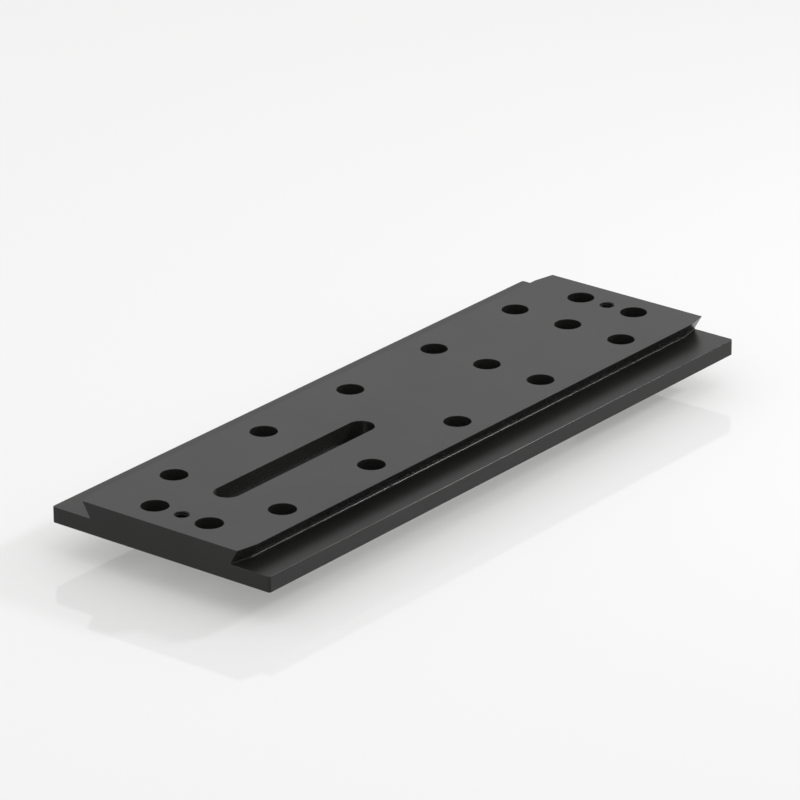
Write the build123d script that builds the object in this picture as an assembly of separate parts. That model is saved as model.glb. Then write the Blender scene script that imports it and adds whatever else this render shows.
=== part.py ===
from build123d import *
from math import atan2, cos, radians, sin, tan
import os

# Dovetail bar: a flat mounting bar milled from one piece of plate.
# Millimetres. X runs along the bar, Y across it and Z up. The origin is at the centre of the
# underside. The dovetail tongue and the screw-head pockets are on the upper side, and the flat
# underside is the face that the carried part is bolted to.

INCH = 25.4

# Plate
LENGTH = 11 * INCH
CORNER_RADIUS = 1.0
EDGE_BREAK = 0.1

# Dovetail tongue, widest at its top face
TONGUE_WIDTH = 75.8
TONGUE_HEIGHT = 6.0
FLANK_ANGLE = 30.0
ROOT_RADIUS = 0.35

# Flange on each side of the tongue
FLANGE_REACH = 12.9
FLANGE_THICKNESS = 6.2
WIDTH = TONGUE_WIDTH + 2 * FLANGE_REACH
THICKNESS = FLANGE_THICKNESS + TONGUE_HEIGHT

# Lead-in at each end of both flanks
LEAD_IN_DEPTH = 1.8
LEAD_IN_LENGTH = 9.0

# Quarter-inch cap screws, with their heads sunk in pockets that leave a seat under the head
SCREW_DIAMETER = INCH / 4
SCREW_PLAY = 0.45
HEAD_LEDGE = 1.85
SEAT_THICKNESS = 5.0
RIM_BREAK = 0.1
SCREW_HOLE = SCREW_DIAMETER + SCREW_PLAY
HEAD_POCKET = SCREW_HOLE + 2 * HEAD_LEDGE

# Two columns of screw holes, in as many rows as fit between the end groups
ROW_PITCH = 2 * INCH
ROW_END_MARGIN = 1.25 * INCH
COLUMN_SPACING = 2 * INCH
ROW_GAPS = int((LENGTH - 2 * ROW_END_MARGIN) / ROW_PITCH)
ROWS = [ROW_PITCH * (i - ROW_GAPS / 2) for i in range(ROW_GAPS + 1)]

# The last rows also have a hole on the centre line
MIDDLE_HOLES = 2

# Group of two screw holes and one stop-screw hole near each end
END_GROUP_MARGIN = INCH / 2
END_GROUP_SPACING = INCH
END_GROUP_X = LENGTH / 2 - END_GROUP_MARGIN

# Stepped slot on the centre line, as wide as a screw hole and its pocket, which lets a screw
# travel from the first row inwards
SLOT_TRAVEL = 3 * INCH
SLOT_CENTRE = ROWS[0] + SLOT_TRAVEL / 2

# Stop-screw hole, drawn with the thread's core diameter
THREAD_DEPTH = 0.625
THREAD_CORE = SCREW_DIAMETER - 2 * THREAD_DEPTH

# Tools run this far past the faces that they cut through
CLEAR = 5.0


def plate():
    """The blank, with its four upright corners rounded."""
    block = Box(LENGTH, WIDTH, THICKNESS, align=(Align.CENTER, Align.CENTER, Align.MIN))
    return fillet(block.edges().filter_by(Axis.Z), CORNER_RADIUS)


def groove_outline():
    """What a jaw groove takes away in section, measured outwards from the tongue's top edge."""
    lean = tan(radians(FLANK_ANGLE))
    root = (-TONGUE_HEIGHT * lean, FLANGE_THICKNESS)
    reach = FLANGE_REACH + CLEAR
    outline = Polygon(
        root,
        (reach, FLANGE_THICKNESS),
        (reach, THICKNESS + CLEAR),
        (CLEAR * lean, THICKNESS + CLEAR),
        align=None,
    )
    corner = outline.vertices().sort_by(Axis.X)[0]
    return fillet(corner, ROOT_RADIUS)


def groove():
    """The jaw groove on the +Y side, running the whole length, with a lead-in at each end."""
    edge = TONGUE_WIDTH / 2
    turn = atan2(LEAD_IN_DEPTH, LEAD_IN_LENGTH)
    outline = groove_outline()
    along = Plane(origin=(0, edge, 0), x_dir=(0, 1, 0), z_dir=(1, 0, 0))
    tool = extrude(along * outline, LENGTH / 2 + CLEAR, both=True)
    turned = Plane(
        origin=(LENGTH / 2 - LEAD_IN_LENGTH, edge, 0),
        x_dir=(sin(turn), cos(turn), 0),
        z_dir=(cos(turn), -sin(turn), 0),
    )
    lead_in = extrude(turned * outline, LEAD_IN_LENGTH + CLEAR, both=True)
    return tool + lead_in + mirror(lead_in, Plane.YZ)


def break_edges(bar):
    """Small bevels on the outer edges of the tongue's top, the flanges' tops and the underside."""
    top = bar.faces().sort_by(Axis.Z)[-1].outer_wire().edges()
    bottom = bar.faces().sort_by(Axis.Z)[0].outer_wire().edges()
    return chamfer(top + bottom + flange_rims(bar), EDGE_BREAK)


def flange_rims(bar):
    """The outer edges of the two flange tops, without the edges at the tongue's root."""
    rims = ShapeList()
    for face in bar.faces().filter_by(Plane.XY):
        if abs(face.center().Z - FLANGE_THICKNESS) < 0.01:
            rims += face.outer_wire().edges().filter_by(on_rim)
    return rims


def on_rim(edge):
    """True for an edge that lies on the plate's outer wall."""
    middle = edge @ 0.5
    past_end = abs(middle.X) > LENGTH / 2 - CORNER_RADIUS / 2
    past_side = abs(middle.Y) > WIDTH / 2 - CORNER_RADIUS / 2
    return past_end or past_side


def upright(radius, low, high):
    """A plain upright cylinder between two heights."""
    return Pos(0, 0, low) * Cylinder(radius, high - low, align=(Align.CENTER, Align.CENTER, Align.MIN))


def rim_bevel(radius, height, direction, size=RIM_BREAK):
    """A 45 degree cone that opens a hole's rim; direction is 1 at an upper face and -1 at a lower one."""
    depth = size + CLEAR
    cone = Cone(radius, radius + depth, depth, align=(Align.CENTER, Align.CENTER, Align.MIN))
    tilt = 0 if direction > 0 else 180
    return Pos(0, 0, height - direction * size) * Rot(tilt, 0, 0) * cone


def screw_hole():
    """A through hole with a flat-bottomed pocket for the screw head in the upper face."""
    tool = upright(SCREW_HOLE / 2, -CLEAR, THICKNESS)
    tool += upright(HEAD_POCKET / 2, SEAT_THICKNESS, THICKNESS + CLEAR)
    tool += rim_bevel(HEAD_POCKET / 2, THICKNESS, 1)
    tool += rim_bevel(SCREW_HOLE / 2, 0, -1)
    return tool


def screw_hole_places():
    """Centres of all the screw holes."""
    places = [(x, side * COLUMN_SPACING / 2) for x in ROWS for side in (1, -1)]
    places += [(x, 0) for x in ROWS[-MIDDLE_HOLES:]]
    places += [(end * END_GROUP_X, side * END_GROUP_SPACING / 2) for end in (1, -1) for side in (1, -1)]
    return places


def slot():
    """The stepped slot: a through slot with a wider pocket for the screw heads."""
    travel = SlotCenterToCenter(SLOT_TRAVEL, SCREW_HOLE)
    pocket = SlotCenterToCenter(SLOT_TRAVEL, HEAD_POCKET)
    tool = Pos(0, 0, -CLEAR) * extrude(travel, THICKNESS + CLEAR)
    tool += Pos(0, 0, SEAT_THICKNESS) * extrude(pocket, THICKNESS - SEAT_THICKNESS + CLEAR)
    return Pos(SLOT_CENTRE, 0, 0) * tool


def break_slot_rims(bar):
    """Small bevels around the slot at both faces."""
    levels = bar.faces().sort_by(Axis.Z)
    rims = ShapeList()
    for face in (levels[0], levels[-1]):
        for wire in face.inner_wires():
            if wire.length > SLOT_TRAVEL:
                rims += wire.edges()
    return chamfer(rims, RIM_BREAK)


def stop_screw_hole():
    """The core of the threaded hole, opened at both faces by most of the thread's depth."""
    bevel = THREAD_DEPTH * 0.8
    tool = upright(THREAD_CORE / 2, -CLEAR, THICKNESS + CLEAR)
    tool += rim_bevel(THREAD_CORE / 2, THICKNESS, 1, bevel)
    tool += rim_bevel(THREAD_CORE / 2, 0, -1, bevel)
    return tool


def dovetail_bar():
    """The whole bar."""
    cut = groove()
    bar = plate() - cut - mirror(cut, Plane.XZ)
    bar = break_edges(bar)
    for x, y in screw_hole_places():
        bar -= Pos(x, y, 0) * screw_hole()
    for end in (1, -1):
        bar -= Pos(end * END_GROUP_X, 0, 0) * stop_screw_hole()
    return break_slot_rims(bar - slot())


def main():
    os.makedirs("parts", exist_ok=True)
    export_step(dovetail_bar(), "parts/dovetail_bar.step")


if __name__ == "__main__":
    main()
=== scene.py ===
"""Dresses a milled and black-anodised dovetail bar, and sets its floor, light and camera.

Lengths are in metres, in the bar's own frame: X runs along the bar, Y across it and Z up, and the
origin is at the centre of its underside.
"""

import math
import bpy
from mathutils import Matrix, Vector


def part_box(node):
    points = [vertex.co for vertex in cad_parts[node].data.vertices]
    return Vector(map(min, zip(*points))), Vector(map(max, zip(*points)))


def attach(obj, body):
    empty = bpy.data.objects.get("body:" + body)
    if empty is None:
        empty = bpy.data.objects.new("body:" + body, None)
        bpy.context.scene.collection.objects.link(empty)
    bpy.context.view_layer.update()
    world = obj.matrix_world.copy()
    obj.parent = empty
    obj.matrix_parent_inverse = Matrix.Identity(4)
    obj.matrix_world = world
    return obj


bl_info = {
    "name": "Dovetail Bar",
    "version": (1, 0, 0),
    "blender": (4, 5, 0),
    "location": "View3D > Sidebar > Dovetail Bar",
    "description": "Taps the stop-screw holes, anodises the bar and sets its studio",
    "category": "Object",
}

import bpy
from bpy.props import (
    FloatProperty,
    FloatVectorProperty,
    IntProperty,
    PointerProperty,
)
from mathutils import Matrix, Vector

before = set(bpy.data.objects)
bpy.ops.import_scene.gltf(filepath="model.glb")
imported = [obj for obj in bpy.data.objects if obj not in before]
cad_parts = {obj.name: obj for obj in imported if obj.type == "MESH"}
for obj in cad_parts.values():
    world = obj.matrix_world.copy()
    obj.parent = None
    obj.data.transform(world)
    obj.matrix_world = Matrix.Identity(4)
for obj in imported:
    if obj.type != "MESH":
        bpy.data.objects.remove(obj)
bpy.context.view_layer.update()
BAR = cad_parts["dovetail_bar"]
INCH = 0.0254


class ThreadSettings(bpy.types.PropertyGroup):
    """The quarter-inch thread in the two stop-screw holes."""

    outer_diameter: FloatProperty(
        name="Outer diameter",
        description="Diameter at the bottom of the thread's groove",
        default=INCH / 4,
        unit="LENGTH",
    )
    pitch: FloatProperty(
        name="Pitch",
        description="Rise of one turn of the thread",
        default=INCH / 20,
        unit="LENGTH",
    )
    root_flat: FloatProperty(
        name="Root flat",
        description="Width of the flat at the bottom of the groove, as a share of the pitch",
        default=0.125,
        subtype="FACTOR",
    )
    reach_in: FloatProperty(
        name="Reach inside",
        description="How far the tap's inner edge stays inside the hole's plain wall",
        default=0.0001,
        unit="LENGTH",
    )
    centre: FloatProperty(
        name="Hole position",
        description="Distance of each stop-screw hole from the bar's middle",
        default=5 * INCH,
        unit="LENGTH",
    )
    sharp_angle: FloatProperty(
        name="Sharp angle",
        description="Edges that bend by more than this are shaded as crisp edges",
        default=math.radians(30),
        subtype="ANGLE",
    )
    steps: IntProperty(
        name="Steps in a turn",
        description="Number of straight steps that draw one turn",
        default=36,
    )


class AnodiseSettings(bpy.types.PropertyGroup):
    """The black anodised finish, with painted light on the tongue's top, the hollows and the
    edges.
    """

    # Painted light: the tongue's top gets a lighter colour than the flange tops, which are
    # blasted too, so that the top reads lighter, as if light falls on it.
    blasted_dye_and_painted_light: FloatVectorProperty(
        name="Blasted dye and painted light",
        description="Colour of the bead-blasted top of the tongue",
        subtype="COLOR",
        size=3,
        default=(0.0155, 0.0153, 0.0150),
    )
    # Mostly the milled faces' own colour; its faint warm cast is a painted reflection of the warm
    # shadow on the floor in the ends and sides.
    milled_dye_and_painted_reflection: FloatVectorProperty(
        name="Milled dye and painted reflection",
        description="Colour of the flanges, the ends, the sides and the edges",
        subtype="COLOR",
        size=3,
        default=(0.0078, 0.0076, 0.0070),
    )
    # Painted light: the undercut flanks and the walls of the holes and the slot get a lighter
    # colour than the milled faces, which lifts the shade in these hollows.
    hollow_dye_and_painted_light: FloatVectorProperty(
        name="Hollow dye and painted light",
        description="Colour of the undercut flanks and of the walls of the holes and the slot",
        subtype="COLOR",
        size=3,
        default=(0.0125, 0.0121, 0.0115),
    )
    thin_dye: FloatProperty(
        name="Thin dye",
        description="How much lighter the colour is where the dye took thinly, as a share",
        default=0.35,
        subtype="FACTOR",
    )
    # Partly rubbed wear and partly a painted highlight: the edges are lighter where light would
    # catch their small chamfers.
    worn_edge_and_highlight: FloatVectorProperty(
        name="Worn and highlit edge",
        description="Colour of the rubbed edges",
        subtype="COLOR",
        size=3,
        default=(0.050, 0.048, 0.047),
    )
    edge_width: FloatProperty(
        name="Edge width",
        description="How far the rubbed look reaches from an edge",
        default=0.00018,
        unit="LENGTH",
    )
    oxide_index: FloatProperty(
        name="Oxide index",
        description="Refractive index of the sealed oxide layer",
        default=1.34,
        min=1.0,
        max=3.0,
    )
    blasted_roughness: FloatProperty(
        name="Blasted roughness",
        description="Roughness of the bead-blasted tops of the tongue and the flanges",
        default=0.34,
        subtype="FACTOR",
    )
    milled_roughness: FloatProperty(
        name="Milled roughness",
        description="Roughness of the cutter-finished ends, sides and edges",
        default=0.19,
        subtype="FACTOR",
    )
    hollow_roughness: FloatProperty(
        name="Hollow roughness",
        description="Roughness of the undercut flanks and of the walls of the holes and the slot",
        default=0.28,
        subtype="FACTOR",
    )
    hole_reach: FloatVectorProperty(
        name="Hole reach",
        description="How far the holes reach from the bar's middle, along the bar and across it",
        subtype="XYZ_LENGTH",
        size=2,
        default=(0.1350, 0.0320),
    )
    top_band: FloatProperty(
        name="Top band",
        description="Height below the bar's top within which a face belongs to the tongue's top",
        default=0.001,
        unit="LENGTH",
    )
    grain_size: FloatProperty(
        name="Grain size",
        description="Distance between two blasted dimples",
        default=0.00022,
        unit="LENGTH",
    )
    grain_height: FloatProperty(
        name="Grain height",
        description="Depth of the blasted dimples",
        default=0.000004,
        unit="LENGTH",
    )
    patch_size: FloatProperty(
        name="Patch size",
        description="Size of the soft patches where the dye took unevenly",
        default=0.03,
        unit="LENGTH",
    )
    feed_mark: FloatProperty(
        name="Feed mark",
        description="Distance between two lines that the cutter left along a milled face",
        default=0.0004,
        unit="LENGTH",
    )


class StudioSettings(bpy.types.PropertyGroup):
    """The floor, the lamps and the camera."""

    backdrop: FloatVectorProperty(
        name="Backdrop",
        description="Colour of the floor",
        subtype="COLOR",
        size=3,
        default=(0.909, 0.909, 0.925),
    )
    # Painted light: the glow lifts the bar's shadow on the floor and warms it, and the floor's
    # faintly bluish colour keeps the unshadowed floor neutral.
    glow_colour: FloatVectorProperty(
        name="Glow colour",
        description="Colour of the light that comes through the floor from below",
        subtype="COLOR",
        size=3,
        default=(0.920, 0.921, 0.882),
    )
    floor_size: FloatProperty(
        name="Floor size",
        description="Side of the square floor",
        default=60.0,
        unit="LENGTH",
    )
    riser_height: FloatProperty(
        name="Riser height",
        description="Height of the low block that carries the bar above the floor",
        default=0.013,
        unit="LENGTH",
    )
    riser_length: FloatProperty(
        name="Riser length",
        description="Length of the block, which stays hidden under the bar",
        default=0.16,
        unit="LENGTH",
    )
    riser_width: FloatProperty(
        name="Riser width",
        description="Width of the block",
        default=0.04,
        unit="LENGTH",
    )
    floor_roughness: FloatProperty(
        name="Floor roughness",
        description="Roughness of the floor's faint gloss",
        default=0.06,
        subtype="FACTOR",
    )
    floor_glow: FloatProperty(
        name="Floor glow",
        description="Share of the floor's white that comes through the sheet from below",
        default=0.30,
        subtype="FACTOR",
    )
    ambient: FloatProperty(
        name="Ambient",
        description="Strength of the room's soft light",
        default=0.78,
    )
    top_strength: FloatProperty(
        name="Top strength",
        description="Strength of the wide soft lamp above the bar",
        default=0.40,
    )
    top_spread: FloatProperty(
        name="Top spread",
        description="Angle that the wide lamp fills, seen from the bar",
        default=math.radians(50),
        subtype="ANGLE",
    )
    top_heading: FloatProperty(
        name="Top heading",
        description="Direction from the bar to the wide lamp, turned from X towards Y",
        default=math.radians(-100),
        subtype="ANGLE",
    )
    top_height: FloatProperty(
        name="Top height",
        description="Angle of the wide lamp above the floor",
        default=math.radians(60),
        subtype="ANGLE",
    )
    side_power: FloatProperty(
        name="Side power",
        description="Power of the softbox that draws the bright lines along the right side",
        default=0.85,
        unit="POWER",
    )
    side_size: FloatProperty(
        name="Side size",
        description="Side of the softbox's square face",
        default=0.15,
        unit="LENGTH",
    )
    side_spread: FloatProperty(
        name="Side spread",
        description="Angle of the beam that the softbox throws",
        default=math.radians(80),
        subtype="ANGLE",
    )
    side_distance: FloatProperty(
        name="Side distance",
        description="Distance from the bar to the softbox",
        default=1.2,
        unit="LENGTH",
    )
    side_heading: FloatProperty(
        name="Side heading",
        description="Direction from the bar to the softbox, turned from X towards Y",
        default=math.radians(-36),
        subtype="ANGLE",
    )
    side_height: FloatProperty(
        name="Side height",
        description="Angle of the softbox above the floor",
        default=math.radians(30),
        subtype="ANGLE",
    )
    aim: FloatVectorProperty(
        name="Aim",
        description="Point on the floor that the camera looks at",
        subtype="TRANSLATION",
        size=3,
        default=(0.02602, 0.02240, 0.0),
    )
    distance: FloatProperty(
        name="Distance",
        description="Distance from the camera to its aim",
        default=2.21696,
        unit="LENGTH",
    )
    heading: FloatProperty(
        name="Heading",
        description="Direction that the camera looks in, turned from X towards Y",
        default=math.radians(38.5915),
        subtype="ANGLE",
    )
    elevation: FloatProperty(
        name="Elevation",
        description="Angle of the camera above the floor",
        default=math.radians(22.6215),
        subtype="ANGLE",
    )
    roll: FloatProperty(
        name="Roll",
        description="Turn of the camera about its own axis, clockwise",
        default=math.radians(0.4471),
        subtype="ANGLE",
    )
    lens: FloatProperty(
        name="Lens",
        description="Focal length, in millimetres",
        default=263.946,
    )
    sensor: FloatProperty(
        name="Sensor",
        description="Width of the square sensor, in millimetres",
        default=36.0,
    )


# Node helpers


def add_node(tree, kind, **values):
    """A node of that kind, with its settings and its inputs' plain values."""
    made = tree.nodes.new(kind)
    for name, value in values.items():
        if hasattr(made, name):
            setattr(made, name, value)
        else:
            made.inputs[name.replace("_", " ")].default_value = value
    return made


def math_node(tree, operation, first, second=None, third=None):
    """The output of a maths node whose inputs are sockets or plain numbers."""
    made = tree.nodes.new("ShaderNodeMath")
    made.operation = operation
    for socket, value in zip(made.inputs, (first, second, third)):
        if isinstance(value, bpy.types.NodeSocket):
            tree.links.new(value, socket)
        elif value is not None:
            socket.default_value = value
    return made.outputs["Value"]


def ramp(tree, value, low, high, to_low=0.0, to_high=1.0):
    """The output of a range node that carries low..high to to_low..to_high."""
    made = tree.nodes.new("ShaderNodeMapRange")
    made.interpolation_type = "SMOOTHSTEP"
    tree.links.new(value, made.inputs["Value"])
    for name, number in (
        ("From Min", low),
        ("From Max", high),
        ("To Min", to_low),
        ("To Max", to_high),
    ):
        made.inputs[name].default_value = number
    return made.outputs["Result"]


def noise(tree, place, size, detail=2.0, stretch=(1.0, 1.0, 1.0)):
    """The value of a noise whose patches are about size metres across."""
    scaled = tree.nodes.new("ShaderNodeVectorMath")
    scaled.operation = "MULTIPLY"
    scaled.inputs[1].default_value = [s / size for s in stretch]
    tree.links.new(place, scaled.inputs[0])
    made = add_node(tree, "ShaderNodeTexNoise", Scale=1.0, Detail=detail)
    tree.links.new(scaled.outputs["Vector"], made.inputs["Vector"])
    return made.outputs["Fac"]


def mix_colours(tree, share, first, second):
    """The output of a colour mix; each colour is a socket or a plain colour."""
    made = tree.nodes.new("ShaderNodeMix")
    made.data_type = "RGBA"
    tree.links.new(share, made.inputs["Factor"])
    for socket, colour in ((made.inputs[6], first), (made.inputs[7], second)):
        if isinstance(colour, bpy.types.NodeSocket):
            tree.links.new(colour, socket)
        else:
            socket.default_value = (*colour, 1.0)
    return made.outputs[2]


def new_material(name):
    """A node material with an empty tree and its output node."""
    made = bpy.data.materials.new(name)
    made.use_nodes = True
    made.node_tree.nodes.clear()
    return made, made.node_tree.nodes.new("ShaderNodeOutputMaterial")


# Threads

# Half of the angle between a thread's two sides
THREAD_HALF_ANGLE = math.radians(30)
# An edge with fewer faces than this is open
PAIRED_FACES = 1.5


def tap_mesh(settings, bottom, top, core_radius):
    """The ridge of a tap, as a closed vee that climbs a helix past both faces of the bar."""
    half_root = settings.pitch * settings.root_flat / 2
    outer = settings.outer_diameter / 2
    inner = core_radius - settings.reach_in
    half_mouth = half_root + (outer - inner) * math.tan(THREAD_HALF_ANGLE)
    section = (
        (inner, -half_mouth),
        (outer, -half_root),
        (outer, half_root),
        (inner, half_mouth),
    )
    start = bottom - settings.pitch
    turns = (top - bottom) / settings.pitch + 2
    count = round(turns * settings.steps)
    points, faces = [], []
    for place in (-settings.centre, settings.centre):
        first = len(points)
        for i in range(count + 1):
            turn = i / settings.steps
            angle = turn * 2 * math.pi
            for radius, rise in section:
                points.append(
                    (
                        place + radius * math.cos(angle),
                        radius * math.sin(angle),
                        start + turn * settings.pitch + rise,
                    )
                )
        for i in range(count):
            for j in range(4):
                a = first + 4 * i + j
                b = first + 4 * i + (j + 1) % 4
                faces.append((a + 4, b + 4, b, a))
        last = first + 4 * count
        faces.append(tuple(first + j for j in (0, 1, 2, 3)))
        faces.append(tuple(last + j for j in (3, 2, 1, 0)))
    mesh = bpy.data.meshes.new("stop_screw_taps")
    mesh.from_pydata(points, [], faces, shade_flat=False)
    mesh.set_sharp_from_angle(angle=settings.sharp_angle)
    return mesh


def crisp_edges(settings):
    """Nodes that keep a mesh's open edges and its sharply bent edges crisp when it is shaded."""
    tree = bpy.data.node_groups.new("crisp_edges", "GeometryNodeTree")
    tree.interface.new_socket("Geometry", in_out="INPUT", socket_type="NodeSocketGeometry")
    tree.interface.new_socket("Geometry", in_out="OUTPUT", socket_type="NodeSocketGeometry")
    entry = tree.nodes.new("NodeGroupInput")
    leave = tree.nodes.new("NodeGroupOutput")
    faces = tree.nodes.new("GeometryNodeInputMeshEdgeNeighbors").outputs["Face Count"]
    bend = tree.nodes.new("GeometryNodeInputMeshEdgeAngle").outputs["Unsigned Angle"]
    single = math_node(tree, "LESS_THAN", faces, PAIRED_FACES)
    bent = math_node(tree, "GREATER_THAN", bend, settings.sharp_angle)
    crisp = math_node(tree, "MAXIMUM", single, bent)
    shade = add_node(tree, "GeometryNodeSetShadeSmooth", domain="EDGE", Shade_Smooth=False)
    tree.links.new(entry.outputs["Geometry"], shade.inputs["Geometry"])
    tree.links.new(crisp, shade.inputs["Selection"])
    tree.links.new(shade.outputs["Geometry"], leave.inputs["Geometry"])
    return tree


class DOVETAILBAR_OT_tap_holes(bpy.types.Operator):
    """Cut the quarter-inch thread into the two stop-screw holes"""

    bl_idname = "dovetail_bar.tap_holes"
    bl_label = "Tap Stop-Screw Holes"

    def execute(self, context):
        settings = context.scene.bar_thread
        low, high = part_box("dovetail_bar")
        core = core_radius_of(settings)
        taps = bpy.data.objects.new("stop_screw_taps", tap_mesh(settings, low.z, high.z, core))
        context.scene.collection.objects.link(taps)
        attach(taps, "root")
        taps.hide_render = True
        taps.hide_viewport = True
        crisp = crisp_edges(settings)
        BAR.modifiers.new("crisp_bar_edges", "NODES").node_group = crisp
        cut = BAR.modifiers.new("stop_screw_threads", "BOOLEAN")
        cut.operation = "DIFFERENCE"
        cut.solver = "EXACT"
        cut.object = taps
        BAR.modifiers.new("crisp_thread_edges", "NODES").node_group = crisp
        return {"FINISHED"}


def core_radius_of(settings):
    """Radius of the plain wall of a stop-screw hole, read from the bar's own mesh."""
    radii = [
        math.hypot(v.co.x - settings.centre, v.co.y)
        for v in BAR.data.vertices
        if abs(v.co.x - settings.centre) < settings.outer_diameter
        and abs(v.co.y) < settings.outer_diameter
    ]
    if not radii:
        raise RuntimeError("the bar has no hole where the stop screw goes")
    return min(radii)


# Finish and painted light

# Upright part of a face's normal: level faces have more than the first number, upright walls
# lie near zero, and the undercut flanks lie near the flank's own value
LEVEL = 0.95
WALL_BAND = 0.2
FLANK = -0.5
FLANK_BAND = 0.08

# Shares and ranges of the finish's patterns and of the painted edge highlight
MOTTLES_IN_A_PATCH = 25
FEED_STRETCH = (0.012, 1.0, 1.0)
MOTTLE_SHARE = 0.35
UNEVEN_RANGE = (0.45, 0.9)
EDGE_RANGE = (0.995, 0.93)
MOTTLE_RANGE = (0.38, 0.62)
RUBBED_AND_HIGHLIGHT_RANGE = (0.4, 0.7)
EDGE_SAMPLES = 6
GLOSS_VARIATION = 0.06
SMOOTHED_GRAIN = 0.8
FEED_SHARE = 0.15


def anodise(settings):
    """Black anodised aluminium: blasted tops, smoother milled walls and edges, duller hollows,
    and painted light on the tongue's top, the hollows and the edges.
    """
    material, output = new_material("satin_black_anodise")
    tree = material.node_tree
    link = tree.links.new
    coordinates = tree.nodes.new("ShaderNodeTexCoord")
    place = coordinates.outputs["Object"]
    geometry = tree.nodes.new("ShaderNodeNewGeometry")
    normal = tree.nodes.new("ShaderNodeSeparateXYZ")
    link(geometry.outputs["Normal"], normal.inputs["Vector"])

    milled = math_node(tree, "LESS_THAN", normal.outputs["Z"], LEVEL)
    hollow = math_node(tree, "COMPARE", normal.outputs["Z"], 0.0, WALL_BAND)
    spot = tree.nodes.new("ShaderNodeSeparateXYZ")
    link(place, spot.inputs["Vector"])
    for axis, limit in zip("XY", settings.hole_reach):
        reach = math_node(tree, "ABSOLUTE", spot.outputs[axis])
        inside = math_node(tree, "LESS_THAN", reach, limit)
        hollow = math_node(tree, "MULTIPLY", hollow, inside)
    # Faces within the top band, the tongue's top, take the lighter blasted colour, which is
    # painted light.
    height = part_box("dovetail_bar")[1].z
    low = math_node(tree, "LESS_THAN", spot.outputs["Z"], height - settings.top_band)
    plain = math_node(tree, "MAXIMUM", milled, low)
    # The undercut flanks join the hollows, whose lighter colour is painted light that lifts their
    # shade.
    flank = math_node(tree, "COMPARE", normal.outputs["Z"], FLANK, FLANK_BAND)
    hollow = math_node(tree, "MAXIMUM", hollow, flank)
    patches = noise(tree, place, settings.patch_size, 3.0)
    mottle = noise(tree, place, settings.patch_size / MOTTLES_IN_A_PATCH, 3.0)
    grain = noise(tree, place, settings.grain_size, 2.0)
    feed = noise(tree, place, settings.feed_mark, 1.0, FEED_STRETCH)

    mixed = math_node(tree, "MULTIPLY_ADD", mottle, MOTTLE_SHARE, patches)
    uneven = ramp(tree, mixed, *UNEVEN_RANGE)
    # Painted light: the tongue's top and the hollows get lighter colours than the milled faces.
    dye_and_painted_light = mix_colours(tree, plain, settings.blasted_dye_and_painted_light, settings.milled_dye_and_painted_reflection)
    dye_and_painted_light = mix_colours(tree, hollow, dye_and_painted_light, settings.hollow_dye_and_painted_light)
    toned = tree.nodes.new("ShaderNodeVectorMath")
    toned.operation = "SCALE"
    link(dye_and_painted_light, toned.inputs[0])
    tone = math_node(tree, "MULTIPLY_ADD", uneven, settings.thin_dye, 1.0)
    link(tone, toned.inputs["Scale"])
    # Lighter edges, found from the bevel's bent normal: partly rubbed wear, partly a painted
    # highlight.
    bevel = add_node(
        tree, "ShaderNodeBevel", samples=EDGE_SAMPLES, Radius=settings.edge_width
    )
    turned = tree.nodes.new("ShaderNodeVectorMath")
    turned.operation = "DOT_PRODUCT"
    link(bevel.outputs["Normal"], turned.inputs[0])
    link(geometry.outputs["Normal"], turned.inputs[1])
    near_edge = ramp(tree, turned.outputs["Value"], *EDGE_RANGE)
    rubbing_and_highlight_share = ramp(tree, mottle, *MOTTLE_RANGE, *RUBBED_AND_HIGHLIGHT_RANGE)
    rubbed_and_highlit = math_node(tree, "MULTIPLY", near_edge, rubbing_and_highlight_share)
    colour = mix_colours(tree, rubbed_and_highlit, toned.outputs["Vector"], settings.worn_edge_and_highlight)

    base = math_node(
        tree,
        "MULTIPLY_ADD",
        milled,
        settings.milled_roughness - settings.blasted_roughness,
        settings.blasted_roughness,
    )
    base = math_node(
        tree, "MULTIPLY_ADD", hollow, settings.hollow_roughness - settings.milled_roughness, base
    )
    uneven_gloss = math_node(tree, "MULTIPLY_ADD", mottle, GLOSS_VARIATION, -GLOSS_VARIATION / 2)
    rough = math_node(tree, "ADD", base, uneven_gloss)
    grain_left = math_node(tree, "MULTIPLY_ADD", milled, -SMOOTHED_GRAIN, 1.0)
    dimples = math_node(tree, "MULTIPLY", grain, grain_left)
    feed_left = math_node(tree, "MULTIPLY", milled, FEED_SHARE)
    lines = math_node(tree, "MULTIPLY", feed, feed_left)
    relief = math_node(tree, "ADD", dimples, lines)
    bump = add_node(tree, "ShaderNodeBump", Strength=1.0, Distance=settings.grain_height)
    link(relief, bump.inputs["Height"])

    shader = add_node(tree, "ShaderNodeBsdfPrincipled", Metallic=0.0, IOR=settings.oxide_index)
    link(colour, shader.inputs["Base Color"])
    link(rough, shader.inputs["Roughness"])
    link(bump.outputs["Normal"], shader.inputs["Normal"])
    link(shader.outputs["BSDF"], output.inputs["Surface"])
    return material


class DOVETAILBAR_OT_anodise(bpy.types.Operator):
    """Give the bar its black anodised finish"""

    bl_idname = "dovetail_bar.anodise"
    bl_label = "Anodise the Bar"

    def execute(self, context):
        material = anodise(context.scene.bar_anodise)
        for slot in BAR.material_slots:
            slot.material = material
        return {"FINISHED"}


# Studio

WHITE = (1.0, 1.0, 1.0, 1.0)
FLOOR_INDEX = 1.4
FLOOR_GRAIN = 0.02
FLOOR_GRAIN_RANGE = (0.3, 0.7)
FLOOR_GLOSS_RANGE = (0.9, 1.1)
FLOOR_THICKNESS = 0.01
CAMERA_REACH = (0.1, 100.0)


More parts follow.
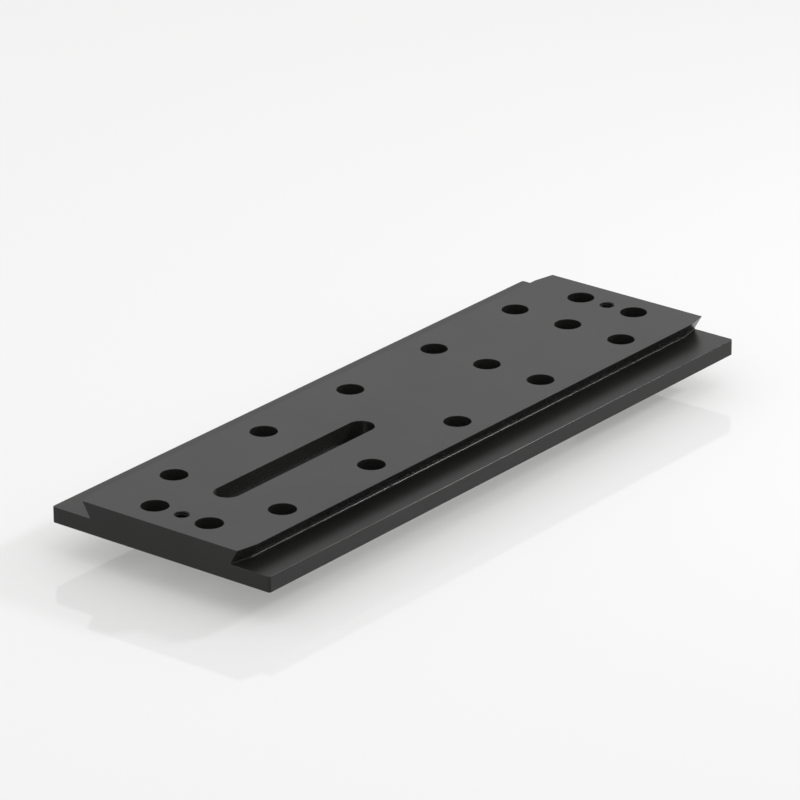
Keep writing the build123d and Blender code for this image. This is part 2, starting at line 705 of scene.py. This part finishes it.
def seen_directly(tree):
    """One for the eye and for what gloss and glass show, and zero for all other light."""
    path = tree.nodes.new("ShaderNodeLightPath").outputs
    seen = math_node(tree, "MAXIMUM", path["Is Camera Ray"], path["Is Glossy Ray"])
    return math_node(tree, "MAXIMUM", seen, path["Is Transmission Ray"])


def backdrop_light(tree, ambient):
    """Makes the world plain white to the eye and in reflections, and a soft lamp to all else."""
    tree.nodes.clear()
    output = tree.nodes.new("ShaderNodeOutputWorld")
    seen = seen_directly(tree)
    shown = add_node(tree, "ShaderNodeBackground", Color=WHITE, Strength=1.0)
    soft = add_node(tree, "ShaderNodeBackground", Color=WHITE, Strength=ambient)
    mixed = tree.nodes.new("ShaderNodeMixShader")
    tree.links.new(seen, mixed.inputs["Fac"])
    tree.links.new(soft.outputs["Background"], mixed.inputs[1])
    tree.links.new(shown.outputs["Background"], mixed.inputs[2])
    tree.links.new(mixed.outputs["Shader"], output.inputs["Surface"])


def floor_material(settings):
    """A pale, faintly glossy sheet with a barely visible grain."""
    material, output = new_material("pale_studio_sheet")
    tree = material.node_tree
    place = tree.nodes.new("ShaderNodeTexCoord").outputs["Object"]
    shader = add_node(
        tree,
        "ShaderNodeBsdfPrincipled",
        Base_Color=(*settings.backdrop, 1.0),
        IOR=FLOOR_INDEX,
    )
    grain = noise(tree, place, FLOOR_GRAIN)
    rough = ramp(tree, grain, *FLOOR_GRAIN_RANGE, *FLOOR_GLOSS_RANGE)
    tree.links.new(
        math_node(tree, "MULTIPLY", rough, settings.floor_roughness), shader.inputs["Roughness"]
    )
    # Painted light: a glow that shows only to the eye and in reflections and lights nothing, so
    # the bar's shadow on the floor is lifted and warmed.
    glow = add_node(tree, "ShaderNodeEmission", Color=(*settings.glow_colour, 1.0), Strength=1.0)
    seen = seen_directly(tree)
    mixed = tree.nodes.new("ShaderNodeMixShader")
    tree.links.new(math_node(tree, "MULTIPLY", seen, settings.floor_glow), mixed.inputs["Fac"])
    tree.links.new(shader.outputs["BSDF"], mixed.inputs[1])
    tree.links.new(glow.outputs["Emission"], mixed.inputs[2])
    tree.links.new(mixed.outputs["Shader"], output.inputs["Surface"])
    return material


def block_mesh(name, length, width, bottom, top):
    """A plain block centred under the bar."""
    corners = [
        (x * length / 2, y * width / 2, z)
        for z in (bottom, top)
        for x, y in ((-1, -1), (1, -1), (1, 1), (-1, 1))
    ]
    faces = [(3, 2, 1, 0), (4, 5, 6, 7)]
    faces += [(i, (i + 1) % 4, (i + 1) % 4 + 4, i + 4) for i in range(4)]
    mesh = bpy.data.meshes.new(name)
    mesh.from_pydata(corners, [], faces)
    return mesh


def direction(heading, height):
    """The unit vector that points that way."""
    flat = math.cos(height)
    return Vector((flat * math.cos(heading), flat * math.sin(heading), math.sin(height)))


def hang_lamp(scene, lamp, place):
    """Puts a lamp at that place, facing the bar."""
    hung = bpy.data.objects.new(lamp.name, lamp)
    hung.location = place
    hung.rotation_euler = place.to_track_quat("Z", "Y").to_euler()
    scene.collection.objects.link(hung)


class DOVETAILBAR_OT_set_studio(bpy.types.Operator):
    """Lay the pale floor and set the soft light"""

    bl_idname = "dovetail_bar.set_studio"
    bl_label = "Set the Studio"

    def execute(self, context):
        settings = context.scene.bar_studio
        scene = context.scene
        scene.view_settings.view_transform = "Standard"
        world = bpy.data.worlds.new("white_room")
        world.use_nodes = True
        backdrop_light(world.node_tree, settings.ambient)
        scene.world = world

        sheet = floor_material(settings)
        drop = -settings.riser_height
        floor_box = (settings.floor_size, settings.floor_size, drop - FLOOR_THICKNESS, drop)
        riser_box = (settings.riser_length, settings.riser_width, drop, 0.0)
        for name, box in (("floor", floor_box), ("riser", riser_box)):
            block = bpy.data.objects.new(name, block_mesh(name, *box))
            block.data.materials.append(sheet)
            scene.collection.objects.link(block)

        top = bpy.data.lights.new("soft_top", "SUN")
        top.energy = settings.top_strength
        top.angle = settings.top_spread
        hang_lamp(scene, top, direction(settings.top_heading, settings.top_height))

        side = bpy.data.lights.new("side_softbox", "AREA")
        side.energy = settings.side_power
        side.size = settings.side_size
        side.spread = settings.side_spread
        way = direction(settings.side_heading, settings.side_height)
        hang_lamp(scene, side, way * settings.side_distance)
        return {"FINISHED"}


class DOVETAILBAR_OT_place_camera(bpy.types.Operator):
    """Place the camera at the photograph's viewing angle"""

    bl_idname = "dovetail_bar.place_camera"
    bl_label = "Place the Camera"

    def execute(self, context):
        settings = context.scene.bar_studio
        data = bpy.data.cameras.new("long_lens")
        data.sensor_width = settings.sensor
        data.lens = settings.lens
        data.clip_start, data.clip_end = CAMERA_REACH
        camera = bpy.data.objects.new("camera", data)
        back = direction(settings.heading + math.pi, settings.elevation)
        turn = back.to_track_quat("Z", "Y").to_matrix() @ Matrix.Rotation(
            -settings.roll, 3, "Z"
        )
        camera.matrix_world = (
            Matrix.Translation(Vector(settings.aim) + back * settings.distance) @ turn.to_4x4()
        )
        context.scene.collection.objects.link(camera)
        context.scene.camera = camera
        return {"FINISHED"}


class DOVETAILBAR_PT_panel(bpy.types.Panel):
    """Lists the steps and their sizes in the 3D view's sidebar."""

    bl_idname = "DOVETAILBAR_PT_panel"
    bl_label = "Dovetail Bar"
    bl_space_type = "VIEW_3D"
    bl_region_type = "UI"
    bl_category = "Dovetail Bar"

    def draw(self, context):
        layout = self.layout
        for step in STEPS:
            layout.operator(step.bl_idname)
        for name in SETTINGS:
            box = layout.box()
            group = getattr(context.scene, name)
            for key in group.__annotations__:
                box.prop(group, key)


SETTINGS = {
    "bar_thread": ThreadSettings,
    "bar_anodise": AnodiseSettings,
    "bar_studio": StudioSettings,
}
STEPS = (
    DOVETAILBAR_OT_tap_holes,
    DOVETAILBAR_OT_anodise,
    DOVETAILBAR_OT_set_studio,
    DOVETAILBAR_OT_place_camera,
)
CLASSES = (*SETTINGS.values(), *STEPS, DOVETAILBAR_PT_panel)


def register():
    for cls in CLASSES:
        bpy.utils.register_class(cls)
    for name, cls in SETTINGS.items():
        setattr(bpy.types.Scene, name, PointerProperty(type=cls))


def unregister():
    for name in SETTINGS:
        delattr(bpy.types.Scene, name)
    for cls in reversed(CLASSES):
        bpy.utils.unregister_class(cls)


def main():
    register()
    bpy.ops.dovetail_bar.tap_holes()
    bpy.ops.dovetail_bar.anodise()
    bpy.ops.dovetail_bar.set_studio()
    bpy.ops.dovetail_bar.place_camera()


if __name__ == "__main__":
    main()
